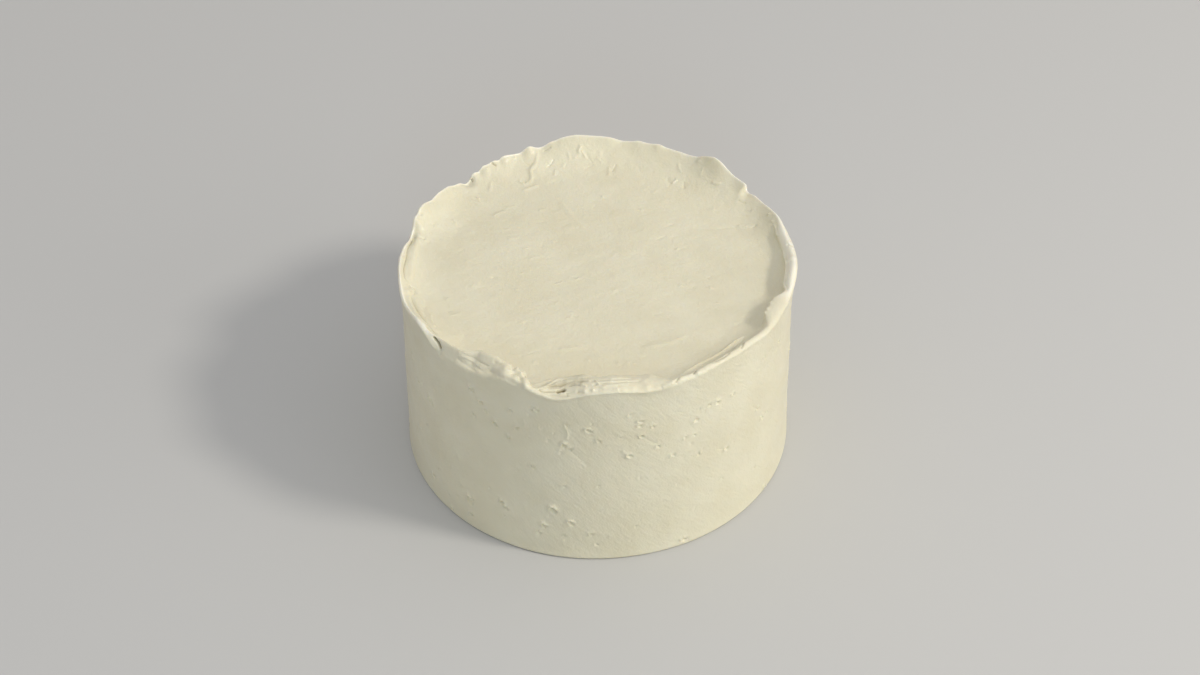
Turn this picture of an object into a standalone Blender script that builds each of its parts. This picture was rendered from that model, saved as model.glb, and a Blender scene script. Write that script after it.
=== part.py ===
"""A bento cake: one uncut cake under white cream, with a thin ragged lip round its top.

Metres, +Z up. The origin is the middle of the flat underside. Angles are in degrees, counted
anticlockwise from +X as seen from above, so 270 is the front.
"""

import math

import bmesh
import bpy
from mathutils import Vector, noise

NAME = "frosted_cake"

# Driving dimensions
BASE_RADIUS = 0.0543
SIDE_TOP_RADIUS = 0.0537
TOP_HEIGHT = 0.0567
CREST_HEIGHT = 0.0615
FOOT_ROUNDING = 0.0007

# The crest is a little higher towards the front, where the cream was folded over
CREST_TILT = 0.0010
CREST_TILT_ANGLE = 285.0

# Rises and dips of the crest: angle, half width in degrees, rise
CREST_WAVES = (
    (31.0, 5.0, -0.0019),
    (36.3, 1.7, -0.0014),
    (42.5, 3.0, -0.0004),
    (51.0, 3.7, 0.0028),
    (72.0, 5.0, 0.0009),
    (85.0, 4.0, 0.0008),
    (96.0, 6.5, 0.0027),
    (106.8, 1.8, -0.0008),
    (110.8, 1.4, 0.0012),
    (119.0, 1.6, 0.0006),
    (133.2, 1.6, -0.0016),
    (133.5, 4.5, -0.0018),
    (147.0, 4.0, 0.0006),
    (155.5, 3.0, 0.0019),
    (164.9, 2.5, -0.0028),
    (170.5, 3.0, -0.0012),
    (186.0, 4.5, 0.0010),
    (195.5, 4.0, -0.0012),
    (210.0, 4.5, 0.0008),
    (239.0, 7.5, 0.0015),
    (257.5, 4.5, -0.0016),
    (274.0, 5.0, 0.0010),
    (309.0, 7.0, 0.0010),
    (328.0, 4.0, -0.0008),
    (354.5, 5.0, 0.0015),
)
RAGGED_RISE = 0.0003
RAGGED_WAVES_ROUND = 26.0

# The slope inside the lip doesn't follow rises and dips that are narrower than this
SETTLED_WIDTH = 5.5

# The lip leans out a little all round, more at places: angle, half width, reach
LIP_LEAN = 0.0006
LEAN_REACH = 0.0075
LEAN_BULGES = (
    (184.0, 9.0, 0.0001),
    (256.0, 5.0, 0.0004),
    (355.0, 9.0, 0.0006),
)

# The standing lip's thickness, and where it is folded inwards: start, end, soft ends, how far it
# reaches inwards, how wide the slope behind it is, how far its inner edge sinks, and how much of
# its outer edge is rolled over
LIP_THICKNESS = 0.0011
FOLDS = (
    (216.0, 229.0, 8.0, 0.0017, 0.0055, 0.0002, 0.9),
    (229.0, 240.5, 6.0, 0.0045, 0.0035, 0.0006, 1.0),
    (240.5, 249.5, 5.0, 0.0043, 0.0035, 0.0006, 0.2),
    (255.0, 268.0, 6.0, 0.0074, 0.0035, 0.0006, 0.0),
    (268.0, 289.0, 6.0, 0.0059, 0.0032, 0.0010, 0.0),
    (289.0, 330.0, 7.0, 0.0007, 0.0095, 0.0000, 0.0),
    (331.0, 343.0, 6.0, 0.0031, 0.0060, 0.0000, 0.0),
    (346.0, 16.0, 7.0, 0.0019, 0.0045, 0.0014, 0.0),
)
FOLD_REACH = 3
FOLD_SLOPE = 4
FOLD_FALL = 5
FOLD_ROLL = 6
FOLD_UNDERCUT = 0.0006
FOLD_SETTLED = 0.0026

# The slope from the crest down to the flat top where the lip stands
STANDING_SLOPE = 0.0105
SLOPE_UNEVENNESS = 0.0018
SLOPE_WAVES_ROUND = 9.0

# The rounded crest: how far below it the outer neck and the outer and inner shoulders are, and
# the share of the lip's thickness that lies outside its highest point
NECK_DROP = 0.0024
OUTER_SHOULDER_DROP = 0.0007
INNER_SHOULDER_DROP = 0.0004
OUTER_SHARE = 0.45

# How far a rolled edge sinks and draws in, and how much more of it lies outside the highest point
ROLL_DROP = 0.0015
ROLL_INSET = 0.32
ROLL_SHARE = 0.34

# How much of the lean is reached at the lip's root and at its neck
ROOT_LEAN = 0.3
NECK_LEAN = 0.8

# Guide points of the slope: share of its width, of its rise, of the undercut and of a fold on it
SLOPE_GUIDES = (
    (0.22, 0.58, 2.0, 0.0),
    (0.45, 0.27, 1.0, 1.0),
    (0.72, 0.08, 0.0, 0.3),
)

# A fold of cream that runs from the crest down the slope at the back left
BACK_FOLD_ANGLE = 111.0
BACK_FOLD_HALF_WIDTH = 2.2
BACK_FOLD_HEIGHT = 0.0006

# Slow unevenness of the side and the top
SIDE_UNEVENNESS = 0.00025
TOP_UNEVENNESS = 0.00035
TOP_SWEEP = 0.022

# How finely the skin is divided
STEPS_ROUND = 180
SIDE_ROWS = 5
LIP_ROWS = 12
TOP_RINGS = 6

# Finish of the cream
CREAM_COLOUR = (0.76, 0.73, 0.62, 1.0)
CREAM_ROUGHNESS = 0.48


def clear_scene():
    """Remove every object, so that the file holds only the cake."""
    for item in list(bpy.data.objects):
        bpy.data.objects.remove(item, do_unlink=True)


def angle_between(angle, centre):
    """Return the signed difference of two angles, from -180 to 180 degrees."""
    return (angle - centre + 180.0) % 360.0 - 180.0


def swell(angle, centre, half_width):
    """Return a smooth bell that is 1 at its centre."""
    turn = angle_between(angle, centre) / half_width
    return math.exp(-0.5 * turn * turn)


def smooth_step(value):
    """Return a smooth rise from 0 at 0 to 1 at 1."""
    value = min(max(value, 0.0), 1.0)
    return value * value * (3.0 - 2.0 * value)


def stretch(angle, start, end, soft):
    """Return 1 between two angles and 0 outside them, with soft ends."""
    half_span = 0.5 * ((end - start) % 360.0)
    distance = abs(angle_between(angle, start + half_span))
    return smooth_step((half_span + 0.5 * soft - distance) / soft)


def round_noise(angle, waves, seed):
    """Return noise from about -1 to 1 that closes on itself after a full turn."""
    turn = math.radians(angle)
    reach = waves / math.tau
    return noise.noise(Vector((reach * math.cos(turn), reach * math.sin(turn), seed)))


def crest_height(angle):
    """Return the height of the lip's crest."""
    height = CREST_HEIGHT + CREST_TILT * math.cos(math.radians(angle - CREST_TILT_ANGLE))
    height += sum(rise * swell(angle, centre, width) for centre, width, rise in CREST_WAVES)
    return height + RAGGED_RISE * round_noise(angle, RAGGED_WAVES_ROUND, 3.7)


def settled_height(angle):
    """Return the height that the slope inside the lip starts from, without the crest's sharp tears."""
    height = CREST_HEIGHT + CREST_TILT * math.cos(math.radians(angle - CREST_TILT_ANGLE))
    for centre, width, rise in CREST_WAVES:
        spread = max(width, SETTLED_WIDTH)
        height += rise * width / spread * swell(angle, centre, spread)
    return height


def lip_lean(angle):
    """Return how far the lip leans out past the side."""
    return LIP_LEAN + sum(reach * swell(angle, centre, width) for centre, width, reach in LEAN_BULGES)


def fold_size(angle, column):
    """Return one of the sizes of the folds, which is 0 where the lip stands."""
    return sum(fold[column] * stretch(angle, *fold[:3]) for fold in FOLDS)


def slope_width(angle):
    """Return how wide the slope inside the lip is."""
    standing = STANDING_SLOPE + SLOPE_UNEVENNESS * round_noise(angle, SLOPE_WAVES_ROUND, 5.2)
    shares = sum(stretch(angle, *fold[:3]) for fold in FOLDS)
    return standing * (1.0 - shares) + fold_size(angle, FOLD_SLOPE)


def side_radius(angle, height):
    """Return the radius of the side wall, which tapers slightly and is not quite even."""
    taper = BASE_RADIUS + (SIDE_TOP_RADIUS - BASE_RADIUS) * height / TOP_HEIGHT
    return taper + SIDE_UNEVENNESS * round_noise(angle, 12.0, 10.0 + height / 0.03)


def top_height(radius, angle):
    """Return the height of the nearly flat top."""
    turn = math.radians(angle)
    place = Vector((radius * math.cos(turn), radius * math.sin(turn), 0.0)) / TOP_SWEEP
    return TOP_HEIGHT + TOP_UNEVENNESS * noise.noise(place)


def lip_guide(angle):
    """Return the guide points of the lip's cut, as pairs of radius and height, side to top."""
    height = crest_height(angle)
    lean = lip_lean(angle)
    reach = fold_size(angle, FOLD_REACH)
    roll = fold_size(angle, FOLD_ROLL)
    folded = smooth_step(reach / FOLD_SETTLED)
    thickness = LIP_THICKNESS + reach
    slope = slope_width(angle)
    undercut = FOLD_UNDERCUT * folded

    wall = side_radius(angle, TOP_HEIGHT)
    outer = wall + lean
    inner = outer - thickness
    foot = inner - slope
    flat = top_height(foot, angle)
    drop = INNER_SHOULDER_DROP + fold_size(angle, FOLD_FALL)
    rise = settled_height(angle) - drop - flat
    ridge = BACK_FOLD_HEIGHT * swell(angle, BACK_FOLD_ANGLE, BACK_FOLD_HALF_WIDTH)
    points = [
        (side_radius(angle, flat - LEAN_REACH), flat - LEAN_REACH),
        (wall + ROOT_LEAN * lean, flat - ROOT_LEAN * LEAN_REACH),
        (wall + NECK_LEAN * lean, height - NECK_DROP - ROLL_DROP * roll),
        (outer - ROLL_INSET * roll * thickness, height - OUTER_SHOULDER_DROP - ROLL_DROP * roll),
        (outer - (OUTER_SHARE + ROLL_SHARE * roll) * thickness, height),
        (inner, height - drop),
    ]
    for width_share, rise_share, undercut_share, ridge_share in SLOPE_GUIDES:
        radius = inner - width_share * slope + undercut_share * undercut
        points.append((radius, flat + rise_share * rise + ridge_share * ridge))
    return [*points, (foot, flat)]


def curve_point(points, place):
    """Return the point at a place from 0 to 1 along the smooth curve through the points."""
    last = len(points) - 1
    start = min(int(place * last), last - 1)
    part = place * last - start
    before, here, there, after = (points[min(max(start + step, 0), last)] for step in (-1, 0, 1, 2))
    return tuple(
        b + 0.5 * part * (c - a + part * (2.0 * a - 5.0 * b + 4.0 * c - d + part * (3.0 * (b - c) + d - a)))
        for a, b, c, d in zip(before, here, there, after)
    )


def cut(angle):
    """Return the whole cut through one side of the cake, from the underside's middle to the top's."""
    guide = lip_guide(angle)
    lip_start = guide[0][1]
    points = [(0.0, 0.0), (BASE_RADIUS - FOOT_ROUNDING, 0.0)]
    for row in range(SIDE_ROWS):
        height = FOOT_ROUNDING + (lip_start - FOOT_ROUNDING) * row / SIDE_ROWS
        points.append((side_radius(angle, height), height))
    points += [curve_point(guide, row / LIP_ROWS) for row in range(LIP_ROWS + 1)]
    foot = guide[-1][0]
    for ring in range(1, TOP_RINGS):
        radius = foot * (1.0 - ring / TOP_RINGS)
        points.append((radius, top_height(radius, angle)))
    points.append((0.0, top_height(0.0, 0.0)))
    return points


def spin_cut(mesh, points):
    """Turn one cut into a closed skin, and return the layer that holds each vertex's row."""
    row_layer = mesh.verts.layers.int.new("row")
    chain = []
    for row, (radius, height) in enumerate(points):
        vertex = mesh.verts.new((radius, 0.0, height))
        vertex[row_layer] = row
        chain.append(vertex)
    edges = [mesh.edges.new(pair) for pair in zip(chain, chain[1:])]
    bmesh.ops.spin(
        mesh,
        geom=chain + edges,
        cent=(0.0, 0.0, 0.0),
        axis=(0.0, 0.0, 1.0),
        angle=math.tau,
        steps=STEPS_ROUND,
        use_merge=True,
    )
    bmesh.ops.remove_doubles(mesh, verts=mesh.verts, dist=0.00001)
    return row_layer


def shape_skin(mesh, row_layer):
    """Move each vertex of the turned skin to its place in the cut at its own angle."""
    cuts = {}
    for vertex in mesh.verts:
        step = round(math.atan2(vertex.co.y, vertex.co.x) / math.tau * STEPS_ROUND) % STEPS_ROUND
        angle = 360.0 * step / STEPS_ROUND
        if step not in cuts:
            cuts[step] = cut(angle)
        radius, height = cuts[step][vertex[row_layer]]
        turn = math.radians(angle)
        vertex.co = (radius * math.cos(turn), radius * math.sin(turn), height)


def cream_material():
    """Return the cream's finish: soft ivory white with a low satin gloss."""
    material = bpy.data.materials.new("white_cream")
    material.use_nodes = True
    shader = material.node_tree.nodes["Principled BSDF"]
    shader.inputs["Base Color"].default_value = CREAM_COLOUR
    shader.inputs["Roughness"].default_value = CREAM_ROUGHNESS
    shader.inputs["Metallic"].default_value = 0.0
    return material


def make_cake():
    """Build the cake as one closed solid and return its object."""
    mesh = bmesh.new()
    row_layer = spin_cut(mesh, cut(0.0))
    shape_skin(mesh, row_layer)
    bmesh.ops.recalc_face_normals(mesh, faces=mesh.faces)
    bmesh.ops.triangulate(mesh, faces=mesh.faces)
    data = bpy.data.meshes.new(NAME)
    mesh.to_mesh(data)
    mesh.free()
    data.shade_smooth()
    data.materials.append(cream_material())
    cake = bpy.data.objects.new(NAME, data)
    bpy.context.collection.objects.link(cake)
    return cake


clear_scene()
make_cake()
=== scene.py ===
"""The finished surface of a small uncut cake under white buttercream.

The cream is one skin, turned from a single cut and then shaped: a smoothed side with small pits, a
nearly flat top, and a ragged lip that stands at the back and is folded inwards along the front.
Metres, +Z up. Angles are in degrees, counted anticlockwise from +X as seen from above, so that the
front is at 270.
"""

import logging
import math
import random
from dataclasses import dataclass
from enum import Enum
from typing import ClassVar

import bmesh
import bpy
import numpy as np
from mathutils import Matrix, Vector, noise


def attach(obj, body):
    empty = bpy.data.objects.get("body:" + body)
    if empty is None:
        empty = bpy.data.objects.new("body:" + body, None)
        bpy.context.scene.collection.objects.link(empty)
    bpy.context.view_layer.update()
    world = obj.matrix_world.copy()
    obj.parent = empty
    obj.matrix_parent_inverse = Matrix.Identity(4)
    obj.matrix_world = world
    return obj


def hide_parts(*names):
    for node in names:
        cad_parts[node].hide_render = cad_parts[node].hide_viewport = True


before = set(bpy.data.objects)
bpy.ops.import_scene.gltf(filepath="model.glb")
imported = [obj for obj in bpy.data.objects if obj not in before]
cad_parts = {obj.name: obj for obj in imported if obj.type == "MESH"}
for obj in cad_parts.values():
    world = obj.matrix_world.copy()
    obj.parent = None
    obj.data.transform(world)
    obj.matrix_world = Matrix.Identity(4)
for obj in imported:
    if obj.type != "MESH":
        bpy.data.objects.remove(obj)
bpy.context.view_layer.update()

LOG = logging.getLogger("cake")
MM = 0.001
NODE = "frosted_cake"

# Places along the cut through the cream, which starts at 0 in the middle of the underside
SIDE_START = 1.0
LIP_START = 2.0
TOP_START = 11.0
MIDDLE = 12.0

# Sockets of a colour mix, which have no names of their own
MIX_FIRST = 6
MIX_SECOND = 7
MIX_RESULT = 2

OCTAVE_SHIFT = 17.0
QUAD_CORNERS = 4


def linear(hex_colour: str) -> tuple[float, float, float, float]:
    """Turn an sRGB colour into the linear values that a shader takes.

    Args:
        hex_colour: six hexadecimal digits after a hash.

    Returns:
        Red, green, blue and an alpha of 1.
    """
    parts = [int(hex_colour[at : at + 2], 16) / 255.0 for at in (1, 3, 5)]
    turned = [part / 12.92 if part <= 0.04045 else ((part + 0.055) / 1.055) ** 2.4 for part in parts]
    return (*turned, 1.0)


def add_node(tree: bpy.types.NodeTree, kind: str, settings: dict, inputs: dict) -> bpy.types.Node:
    """Add a node with its settings, and fill its inputs with values or links.

    Args:
        tree: the node tree that gets the node.
        kind: the node's type.
        settings: the node's own properties by name.
        inputs: for each input's name or number, a value or the output socket that feeds it.

    Returns:
        The new node.
    """
    node = tree.nodes.new(kind)
    for name, value in settings.items():
        setattr(node, name, value)
    for name, value in inputs.items():
        if isinstance(value, bpy.types.NodeSocket):
            tree.links.new(value, node.inputs[name])
        else:
            node.inputs[name].default_value = value
    return node


def angle_between(angle: np.ndarray, centre: float) -> np.ndarray:
    """Return the signed difference of angles, from -180 to 180 degrees."""
    return (angle - centre + 180.0) % 360.0 - 180.0


def swell(angle: np.ndarray, centre: float, half_width: float) -> np.ndarray:
    """Return a smooth bell that is 1 at its centre."""
    return np.exp(-0.5 * (angle_between(angle, centre) / half_width) ** 2)


def smooth_step(value: np.ndarray) -> np.ndarray:
    """Return a smooth rise from 0 at 0 to 1 at 1."""
    value = np.clip(value, 0.0, 1.0)
    return value * value * (3.0 - 2.0 * value)


def stretch(angle: np.ndarray, start: float, end: float, soft: float) -> np.ndarray:
    """Return 1 between two angles and 0 outside them, with soft ends.

    Args:
        angle: the angles to look at.
        start: where the stretch starts.
        end: where it ends, counted anticlockwise.
        soft: the width of each soft end.

    Returns:
        A weight for each angle.
    """
    half_span = 0.5 * ((end - start) % 360.0)
    distance = np.abs(angle_between(angle, start + half_span))
    return smooth_step((half_span + 0.5 * soft - distance) / soft)


def band(value: np.ndarray, low: float, high: float, soft: float) -> np.ndarray:
    """Return 1 between two values and 0 outside them, with soft ends.

    Args:
        value: the values to look at.
        low: where the band starts.
        high: where it ends.
        soft: the width of each soft end.

    Returns:
        A weight for each value.
    """
    return smooth_step((value - low) / soft + 0.5) * smooth_step((high - value) / soft + 0.5)


def grain(points: np.ndarray, size: float, seed: float, octaves: int = 1) -> np.ndarray:
    """Return smooth noise at points in space.

    Args:
        points: an array of points.
        size: the size of the coarsest lumps, in the points' units.
        seed: a shift that makes one noise unlike another.
        octaves: how many times finer lumps are added, each half as large and half as high.

    Returns:
        Values from about -1 to 1.
    """
    total = np.zeros(len(points))
    for octave in range(octaves):
        scaled = points * (2.0**octave / size) + seed + OCTAVE_SHIFT * octave
        total += [noise.noise(Vector(point)) for point in scaled] * np.array(0.5**octave)
    return total


def round_noise(angle: np.ndarray, waves: float, seed: np.ndarray | float) -> np.ndarray:
    """Return noise that closes on itself after a full turn.

    Args:
        angle: the angles to look at.
        waves: about how many waves go round.
        seed: the third coordinate of the noise.

    Returns:
        Values from about -1 to 1.
    """
    turn = np.radians(angle)
    reach = waves / math.tau
    depth = np.broadcast_to(seed, turn.shape)
    place = np.stack([reach * np.cos(turn), reach * np.sin(turn), depth], axis=-1)
    return np.array([noise.noise(Vector(point)) for point in place])


class Zone(Enum):
    """The parts of the skin, each with its own way of giving a place on it."""

    SIDE = "angle and height"
    LIP = "angle and place along the lip's cut"
    TOP = "x and y"

    def unit(self) -> np.ndarray:
        """Return what turns a pair with lengths in millimetres into one in metres."""
        return {Zone.SIDE: np.array([1.0, MM]), Zone.LIP: np.ones(2), Zone.TOP: np.array([MM, MM])}[self]


class Relief(Enum):
    """What a line in the cream does to its surface."""

    RIDGE = "a rounded rise"
    FURROW = "a sharp-bottomed cut"
    SHEET = "the edge of a thin sheet that lies over its left side"


@dataclass
class Skin:
    """Points on the cream, as arrays: their angle, their place along the cut, and where that is."""

    angle: np.ndarray
    along: np.ndarray
    point: np.ndarray


class FoldSize(Enum):
    """What a fold adds to the standing lip."""

    REACH = "reach"
    FALL = "fall"
    ROLL = "roll"


@dataclass(frozen=True)
class Fold:
    """A stretch of the lip that is folded inwards, between two angles with soft ends.

    It reaches inwards, has a slope of its own width inside it, lets its inner edge fall, and may
    roll its outer edge over, from 0 for not at all to 1.
    """

    start: float
    end: float
    soft: float
    reach: float
    slope: float
    fall: float
    roll: float

    def weight(self, angle: np.ndarray) -> np.ndarray:
        """Return how much of the fold there is at each angle."""
        return stretch(angle, self.start, self.end, self.soft)


@dataclass(frozen=True)
class CakeForm:
    """The sizes of the cake, and the rules that turn an angle into the cut through its cream.

    A place along the cut runs from 0 to 1 on the underside, to 2 on the side, to 11 over the lip
    (one for each pair of its guide points) and to 12 at the middle of the top. Each wave, tear,
    bulge and fold at the back is an angle, a half width in degrees and a rise. Each rag is a number
    of waves round the cake and a height. Each guide of the slope inside the lip is its share of the
    slope's width, of its rise, of the undercut and of the back fold's rise.
    """

    base_radius: float = 0.0543
    side_top_radius: float = 0.0537
    top_height: float = 0.0567
    crest_middle: float = 0.0615
    foot_rounding: float = 0.0007
    foot_flare: float = 0.00025
    flare_fade: float = 2.0

    crest_tilt: float = 0.0010
    crest_tilt_angle: float = 285.0
    crest_waves: tuple = (
        (31.0, 5.0, -0.0019),
        (36.3, 1.7, -0.0014),
        (42.5, 3.0, -0.0004),
        (51.0, 3.7, 0.0028),
        (72.0, 5.0, 0.0009),
        (85.0, 4.0, 0.0008),
        (96.0, 6.5, 0.0027),
        (106.8, 1.8, -0.0008),
        (110.8, 1.4, 0.0012),
        (119.0, 1.6, 0.0006),
        (133.2, 1.6, -0.0016),
        (133.5, 4.5, -0.0018),
        (147.0, 4.0, 0.0006),
        (155.5, 3.0, 0.0019),
        (164.9, 2.5, -0.0028),
        (170.5, 3.0, -0.0012),
        (186.0, 4.5, 0.0010),
        (195.5, 4.0, -0.0012),
        (210.0, 4.5, 0.0008),
        (239.0, 7.5, 0.0015),
        (257.5, 4.5, -0.0016),
        (274.0, 5.0, 0.0010),
        (309.0, 7.0, 0.0010),
        (328.0, 4.0, -0.0008),
        (354.5, 5.0, 0.0015),
    )
    crest_tears: tuple = (
        (36.9, 0.7, -0.0004),
        (55.3, 0.9, 0.0003),
        (70.0, 0.9, 0.0003),
        (76.7, 1.3, 0.0004),
        (82.4, 1.6, -0.0004),
        (102.4, 0.8, -0.0003),
        (113.3, 0.8, -0.0003),
        (121.0, 0.6, -0.0005),
        (123.2, 0.9, 0.0003),
        (126.7, 0.9, 0.0005),
        (128.3, 0.7, -0.0005),
        (130.6, 0.9, 0.0006),
        (138.5, 1.2, -0.0005),
        (149.5, 1.4, -0.0004),
        (157.9, 0.6, -0.0004),
        (160.0, 0.7, 0.0008),
        (161.8, 0.6, -0.0005),
        (175.5, 0.8, -0.0003),
        (358.5, 0.8, 0.0004),
    )
    spike_angle: float = 37.8
    spike_step: float = 0.45
    spike_reach: float = 2.0
    spike_rise: float = 0.0014
    settled_width: float = 5.5
    crest_rag: tuple = ((26.0, 0.0003),)
    crest_seed: float = 3.7
    fine_rag: tuple = ((70.0, 0.00016), (190.0, 0.00007))
    fine_seed: float = 8.3
    edge_rag: tuple = ((34.0, 0.00030), (110.0, 0.00014))
    edge_seed: float = 21.0
    rag_outside: float = 0.5
    rag_standing: float = 0.4
    rag_folded: float = 0.4

    lip_lean: float = 0.0006
    lean_reach: float = 0.0075
    lean_bulges: tuple = ((184.0, 9.0, 0.0001), (256.0, 5.0, 0.0004), (355.0, 9.0, 0.0006))
    lip_thickness: float = 0.0011
    folds: tuple = (
        Fold(216.0, 229.0, 8.0, 0.0017, 0.0055, 0.0002, 0.9),
        Fold(229.0, 240.5, 6.0, 0.0045, 0.0035, 0.0006, 1.0),
        Fold(240.5, 249.5, 5.0, 0.0043, 0.0035, 0.0006, 0.2),
        Fold(255.0, 268.0, 6.0, 0.0074, 0.0035, 0.0006, 0.0),
        Fold(268.0, 289.0, 6.0, 0.0059, 0.0032, 0.0010, 0.0),
        Fold(289.0, 330.0, 7.0, 0.0007, 0.0095, 0.0000, 0.0),
        Fold(331.0, 343.0, 6.0, 0.0031, 0.0060, 0.0000, 0.0),
        Fold(346.0, 16.0, 7.0, 0.0019, 0.0045, 0.0014, 0.0),
    )
    fold_undercut: float = 0.0006
    fold_settled: float = 0.0026
    standing_slope: float = 0.0105
    slope_unevenness: float = 0.0018
    slope_waves: float = 9.0
    slope_seed: float = 5.2
    neck_drop: float = 0.0024
    outer_shoulder_drop: float = 0.0007
    inner_shoulder_drop: float = 0.0004
    outer_share: float = 0.45
    roll_drop: float = 0.0015
    roll_inset: float = 0.32
    roll_share: float = 0.34
    root_lean: float = 0.3
    neck_lean: float = 0.8
    slope_guides: tuple = ((0.22, 0.58, 2.0, 0.0), (0.45, 0.27, 1.0, 1.0), (0.72, 0.08, 0.0, 0.3))
    back_fold: tuple = (111.0, 2.2, 0.0006)

    side_unevenness: float = 0.00025
    side_waves: float = 12.0
    side_sweep: float = 0.03
    side_seed: float = 10.0
    top_unevenness: float = 0.00035
    top_sweep: float = 0.022

    @staticmethod
    def rag(rows: tuple, angle: np.ndarray, seed: float) -> np.ndarray:
        """Add up ragged waves, each a number of waves round the cake and a height."""
        return sum(rise * round_noise(angle, waves, seed) for waves, rise in rows)

    def crest_height(self, angle: np.ndarray) -> np.ndarray:
        """Work out the height of the lip's crest.

        Args:
            angle: the angles to look at.

        Returns:
            A height for each angle.
        """
        height = self.crest_middle + self.crest_tilt * np.cos(np.radians(angle - self.crest_tilt_angle))
        for centre, width, rise in self.crest_waves + self.crest_tears:
            height = height + rise * swell(angle, centre, width)
        past = angle_between(angle, self.spike_angle)
        spike = smooth_step(past / self.spike_step + 0.5) * np.exp(-np.maximum(past, 0.0) / self.spike_reach)
        height = height + self.spike_rise * spike
        ragged = self.rag(self.crest_rag, angle, self.crest_seed)
        return height + ragged + self.rag(self.fine_rag, angle, self.fine_seed)

    def settled_height(self, angle: np.ndarray) -> np.ndarray:
        """Work out the height that the slope inside the lip starts from, without the crest's tears.

        Args:
            angle: the angles to look at.

        Returns:
            A height for each angle.
        """
        height = self.crest_middle + self.crest_tilt * np.cos(np.radians(angle - self.crest_tilt_angle))
        for centre, width, rise in self.crest_waves:
            spread = max(width, self.settled_width)
            height = height + rise * width / spread * swell(angle, centre, spread)
        return height

    def fold_size(self, angle: np.ndarray, size: FoldSize) -> np.ndarray:
        """Return one size of the folds at each angle, which is 0 where the lip stands."""
        return sum(getattr(fold, size.value) * fold.weight(angle) for fold in self.folds)

    def slope_width(self, angle: np.ndarray) -> np.ndarray:
        """Work out how wide the slope inside the lip is.

        Args:
            angle: the angles to look at.

        Returns:
            A width for each angle.
        """
        waves = round_noise(angle, self.slope_waves, self.slope_seed)
        standing = self.standing_slope + self.slope_unevenness * waves
        return standing + sum((fold.slope - standing) * fold.weight(angle) for fold in self.folds)

    def side_radius(self, angle: np.ndarray, height: np.ndarray | float) -> np.ndarray:
        """Return the radius of the slightly tapered, slightly uneven side wall.

        Args:
            angle: the angles to look at.
            height: the height at each angle, or one height for all.

        Returns:
            A radius for each angle.
        """
        taper = self.base_radius + (self.side_top_radius - self.base_radius) * height / self.top_height
        waves = round_noise(angle, self.side_waves, self.side_seed + height / self.side_sweep)
        return taper + self.side_unevenness * waves

    def top_at(self, radius: np.ndarray, angle: np.ndarray) -> np.ndarray:
        """Work out the height of the nearly flat top.

        Args:
            radius: how far from the middle to look.
            angle: the angles to look at.

        Returns:
            A height for each pair.
        """
        turn = np.radians(angle)
        flat = np.stack([radius * np.cos(turn), radius * np.sin(turn), np.zeros_like(turn)], axis=-1)
        return self.top_height + self.top_unevenness * grain(flat, self.top_sweep, 0.0)

    def lip_guide(self, angle: np.ndarray) -> np.ndarray:
        """Work out the guide points of the lip's cut.

        Args:
            angle: the angles to look at.

        Returns:
            For each angle ten pairs of radius and height, from the side over the crest to the top.
        """
        height = self.crest_height(angle)
        bulges = sum(reach * swell(angle, centre, width) for centre, width, reach in self.lean_bulges)
        lean = self.lip_lean + bulges
        fold = self.fold_size(angle, FoldSize.REACH)
        folded = smooth_step(fold / self.fold_settled)
        rag = self.rag(self.edge_rag, angle, self.edge_seed)
        thickness = self.lip_thickness + fold + rag * (self.rag_standing + self.rag_folded * folded)
        slope = self.slope_width(angle)
        undercut = self.fold_undercut * folded

        wall = self.side_radius(angle, self.top_height)
        outer = wall + lean + self.rag_outside * rag
        inner = outer - thickness
        foot = inner - slope
        flat = self.top_at(foot, angle)
        drop = self.inner_shoulder_drop + self.fold_size(angle, FoldSize.FALL)
        roll = self.fold_size(angle, FoldSize.ROLL)
        rolled = roll * thickness
        rise = self.settled_height(angle) - drop - flat
        ridge_angle, ridge_width, ridge_rise = self.back_fold
        ridge = ridge_rise * swell(angle, ridge_angle, ridge_width)
        guide = [
            (self.side_radius(angle, flat - self.lean_reach), flat - self.lean_reach),
            (wall + self.root_lean * lean, flat - self.root_lean * self.lean_reach),
            (wall + self.neck_lean * lean, height - self.neck_drop - self.roll_drop * roll),
            (outer - self.roll_inset * rolled, height - self.outer_shoulder_drop - self.roll_drop * roll),
            (outer - self.outer_share * thickness - self.roll_share * rolled, height),
            (inner, height - drop),
        ]
        for width_share, rise_share, undercut_share, ridge_share in self.slope_guides:
            radius = inner - width_share * slope + undercut_share * undercut
            guide.append((radius, flat + rise_share * rise + ridge_share * ridge))
        guide.append((foot, flat))
        return np.stack([np.stack(pair, axis=-1) for pair in guide], axis=1)

    def place(self, angle: np.ndarray, along: np.ndarray) -> np.ndarray:
        """Find points of the smooth skin.

        Args:
            angle: the angle of each point.
            along: its place along the cut.

        Returns:
            The points as an array of x, y and z.
        """
        guide = self.lip_guide(angle)
        lip_start = guide[:, 0, 1]
        foot = guide[:, -1, 0]
        radius = np.zeros_like(angle)
        height = np.zeros_like(angle)

        under = along < SIDE_START
        radius[under] = along[under] * (self.base_radius - self.foot_rounding)

        side = (along >= SIDE_START) & (along < LIP_START)
        up = (along[side] - SIDE_START) * lip_start[side]
        left = np.clip(1.0 - up / self.foot_rounding, 0.0, 1.0)
        tuck = self.foot_rounding * (1.0 - np.sqrt(1.0 - left * left))
        faded = np.exp(-up / (self.flare_fade * self.foot_rounding))
        flare = self.foot_flare * faded * (1.0 - left)
        radius[side] = self.side_radius(angle[side], up) - tuck + flare
        height[side] = up

        lip = (along >= LIP_START) & (along < TOP_START)
        bent = self.curve(guide[lip], along[lip] - LIP_START)
        radius[lip] = bent[:, 0]
        height[lip] = bent[:, 1]

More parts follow.
